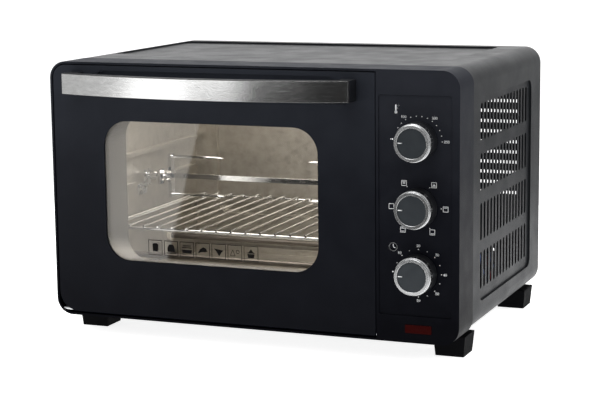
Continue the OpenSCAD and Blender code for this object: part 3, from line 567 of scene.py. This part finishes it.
# name, look and points of each wire
WIRES = (
    ("wire_thermostat_switch", "red_wire", [
        (436, 66, 226), (436, 84, 226), (438, 92, 200), (441, 88, 175), (469, 88, 153), (469, 74, 153),
    ]),
    ("wire_switch_timer", "red_wire", [
        (461, 74, 138), (461, 90, 134), (478, 96, 110), (484, 90, 60), (472, 78, 42), (470, 66, 52),
    ]),
    ("wire_heater_top", "white_wire", [
        (386, 110, 256), (404, 110, 258), (430, 100, 262), (462, 84, 250), (470, 84, 226), (470, 66, 226),
    ]),
    ("wire_heater_bottom", "white_wire", [
        (386, 110, 55), (404, 111, 52), (432, 108, 36), (460, 98, 30), (484, 90, 36), (482, 62, 44),
    ]),
    ("wire_mains_live", "red_wire", [
        (438, 338, 40), (440, 310, 36), (470, 240, 28), (480, 150, 26), (478, 104, 28), (440, 92, 34),
        (434, 60, 42),
    ]),
    ("wire_mains_neutral", "blue_wire", [
        (442, 338, 40), (446, 300, 42), (480, 230, 36), (488, 150, 30), (488, 96, 120), (470, 92, 176),
        (462, 74, 167),
    ]),
    ("wire_motor", "blue_wire", [
        (418, 165, 106), (418, 165, 92), (432, 150, 84), (468, 122, 100), (484, 104, 150), (466, 92, 172),
        (458, 76, 168),
    ]),
)
for name, look, points in WIRES:
    wire(name, look, points)


# ---- studio ----


def view_axes(azimuth, elevation, roll):
    """Right, up and back directions of a camera, from its azimuth, elevation and roll in degrees."""
    a, e, r = math.radians(azimuth), math.radians(elevation), math.radians(roll)
    back = Vector((math.sin(a) * math.cos(e), -math.cos(a) * math.cos(e), math.sin(e)))
    right = back.cross(Vector((0, 0, 1))).normalized() * -1
    up = back.cross(right)
    return right * math.cos(r) + up * math.sin(r), up * math.cos(r) - right * math.sin(r), back


CAMERA_LENS = 104.7
CAMERA_SENSOR = 36
CAMERA_VIEW = (22.05, 9.51, -0.624)
CAMERA_TARGET = at(243.5, 175, 115.5)
CAMERA_DISTANCE = 2.1425


def make_camera():
    data = bpy.data.cameras.new("camera")
    data.lens = CAMERA_LENS
    data.sensor_width = CAMERA_SENSOR
    camera = bpy.data.objects.new("camera", data)
    bpy.context.scene.collection.objects.link(camera)
    right, up, back = view_axes(*CAMERA_VIEW)
    place = CAMERA_TARGET + back * CAMERA_DISTANCE
    rotation = Matrix((right, up, back)).transposed().to_4x4()
    camera.matrix_world = Matrix.Translation(place) @ rotation
    bpy.context.scene.camera = camera


def stage_material(name, tones, glow=0.0):
    """Matt paper with faint clouds, which may glow a little."""
    n = Nodes(name)
    tone = n.ramp(n.noise((3, 3, 3)), tones)
    n.link(tone, n.shader.inputs["Base Color"])
    n.link(tone, n.shader.inputs["Emission Color"])
    n.shader.inputs["Emission Strength"].default_value = glow
    n.link(n.spread(n.noise((20, 20, 20)), 0.8, 0.95), n.shader.inputs["Roughness"])
    n.shader.inputs["Specular IOR Level"].default_value = 0.0
    return n.material


def stage_sheet(name, rows, material, seen=True):
    """Sheet through rows of points, as part of the studio. Unseen ones only show in reflections."""
    mesh = bmesh.new()
    verts = [[mesh.verts.new(p) for p in row] for row in rows]
    for a, b in zip(verts, verts[1:]):
        for i in range(len(a) - 1):
            mesh.faces.new((a[i], a[i + 1], b[i + 1], b[i]))
    data = bpy.data.meshes.new(name)
    mesh.to_mesh(data)
    mesh.free()
    for face in data.polygons:
        face.use_smooth = True
    data.materials.append(material)
    piece = bpy.data.objects.new(name, data)
    bpy.context.scene.collection.objects.link(piece)
    piece.visible_camera = seen
    piece.visible_shadow = seen


def area_light(name, place, target, size, power, colour):
    data = bpy.data.lights.new(name, "AREA")
    data.shape = "RECTANGLE"
    data.size, data.size_y = size
    data.energy = power
    data.color = colour
    light = bpy.data.objects.new(name, data)
    bpy.context.scene.collection.objects.link(light)
    light.location = place
    light.rotation_euler = (target - place).to_track_quat("-Z", "Y").to_euler()
    light.visible_camera = False


make_camera()

# floor that rises into a wall behind the oven
FLOOR_FRONT = -0.95
BEND_START = 2.2
BEND_R = 0.9
BEND_STEPS = 8
WALL_TOP = 3.2
bend = [t * math.pi / 2 / BEND_STEPS for t in range(1, BEND_STEPS + 1)]
profile = [(FLOOR_FRONT, 0.0), (BEND_START, 0.0)]
profile += [(BEND_START + BEND_R * math.sin(t), BEND_R - BEND_R * math.cos(t)) for t in bend]
profile += [(BEND_START + BEND_R, WALL_TOP)]
stage_sheet(
    "floor", [[(x, y, z) for x in (-4, -2, 0, 2, 4)] for y, z in profile],
    stage_material("pale_floor", [(0.80, 0.80, 0.80), (0.84, 0.84, 0.84)], 0.50),
)

# a glowing patch of floor round the feet: painted light that washes out the oven's shadow on the floor there
PATCH_Z = -23.7
patch = at(250, 175, PATCH_Z)
stage_sheet(
    "painted_light_patch",
    [[(patch.x + i, patch.y + j, patch.z) for i in (-0.75, 0.36)] for j in (-0.52, 0.9)],
    stage_material("painted_light_patch", [(0.84, 0.84, 0.84), (0.88, 0.88, 0.88)], 1.0),
)

# sheets on the floor for the front's reflections: the line where the bright and the dark card meet runs
# away from the front's low left corner
CARD_Z = -23
meeting = [at(x, y, CARD_Z) for x, y in ((-70, -430), (-888, -2300), (-430, -2450), (-430, -5000))]
bright_edge = [-1.2, -2.2, -2.4, -4.0]
dark_edge = [1.6, 2.4, 2.4, 3.0]
left_card_w = 3
stage_sheet(
    "bright_card", [[(x, p.y, p.z), tuple(p)] for x, p in zip(bright_edge, meeting)],
    stage_material("bright_card", [(0.9, 0.9, 0.9), (0.95, 0.95, 0.95)], 0.9),
    seen=False,
)
stage_sheet(
    "dark_card", [[tuple(p), (x, p.y, p.z)] for x, p in zip(dark_edge, meeting)],
    stage_material("dark_card", [(0.02, 0.02, 0.02), (0.03, 0.03, 0.03)]),
    seen=False,
)
stage_sheet(
    "left_card", [[(x - left_card_w, p.y, p.z), (x, p.y, p.z)] for x, p in zip(bright_edge[:2], meeting)],
    stage_material("left_card", [(0.5, 0.5, 0.5), (0.56, 0.56, 0.56)], 0.1),
    seen=False,
)

# an upright grey flag behind the right side keeps that side dark
stage_sheet(
    "side_flag", [[(0.40, 0.95, -0.02), (2.2, 0.95, -0.02)], [(0.40, 0.95, 0.9), (2.2, 0.95, 0.9)]],
    stage_material("side_flag", [(0.30, 0.30, 0.30), (0.36, 0.36, 0.36)]),
    seen=False,
)

WHITE = (1, 1, 1)
WARM = (1, 0.96, 0.91)
area_light("overhead", Vector((-0.2, -0.1, 1.9)), Vector((0, 0.05, 0.1)), (1.8, 1.4), 26, WHITE)
area_light("side", Vector((2.0, 0.9, 0.9)), Vector((0.25, 0, 0.15)), (1.2, 1.2), 9, WHITE)
inside = middle("cavity_top")
area_light(
    "cavity", inside - Vector((0, 0.06, 0.012)), inside - Vector((0, 0.0, 0.2)), (0.26, 0.14), 1.1, WARM
)


def make_world():
    """White surroundings with a soft dark patch in front of the oven, a little to the right."""
    world = bpy.data.worlds.new("studio")
    bpy.context.scene.world = world
    world.use_nodes = True
    tree = world.node_tree
    direction = tree.nodes.new("ShaderNodeTexCoord").outputs["Generated"]
    facing = tree.nodes.new("ShaderNodeVectorMath")
    facing.operation = "DOT_PRODUCT"
    facing.inputs[1].default_value = Vector((0.454, -0.891, 0.0)).normalized()
    tree.links.new(direction, facing.inputs[0])
    level = tree.nodes.new("ShaderNodeMapRange")
    level.interpolation_type = "SMOOTHSTEP"
    level.inputs["From Min"].default_value = 0.86
    level.inputs["From Max"].default_value = 0.94
    level.inputs["To Min"].default_value = 0.85
    level.inputs["To Max"].default_value = 0.08
    tree.links.new(facing.outputs["Value"], level.inputs["Value"])
    background = tree.nodes["Background"]
    background.inputs["Color"].default_value = (1, 1, 1, 1)
    tree.links.new(level.outputs[0], background.inputs["Strength"])


make_world()
bpy.context.scene.view_settings.view_transform = "Standard"
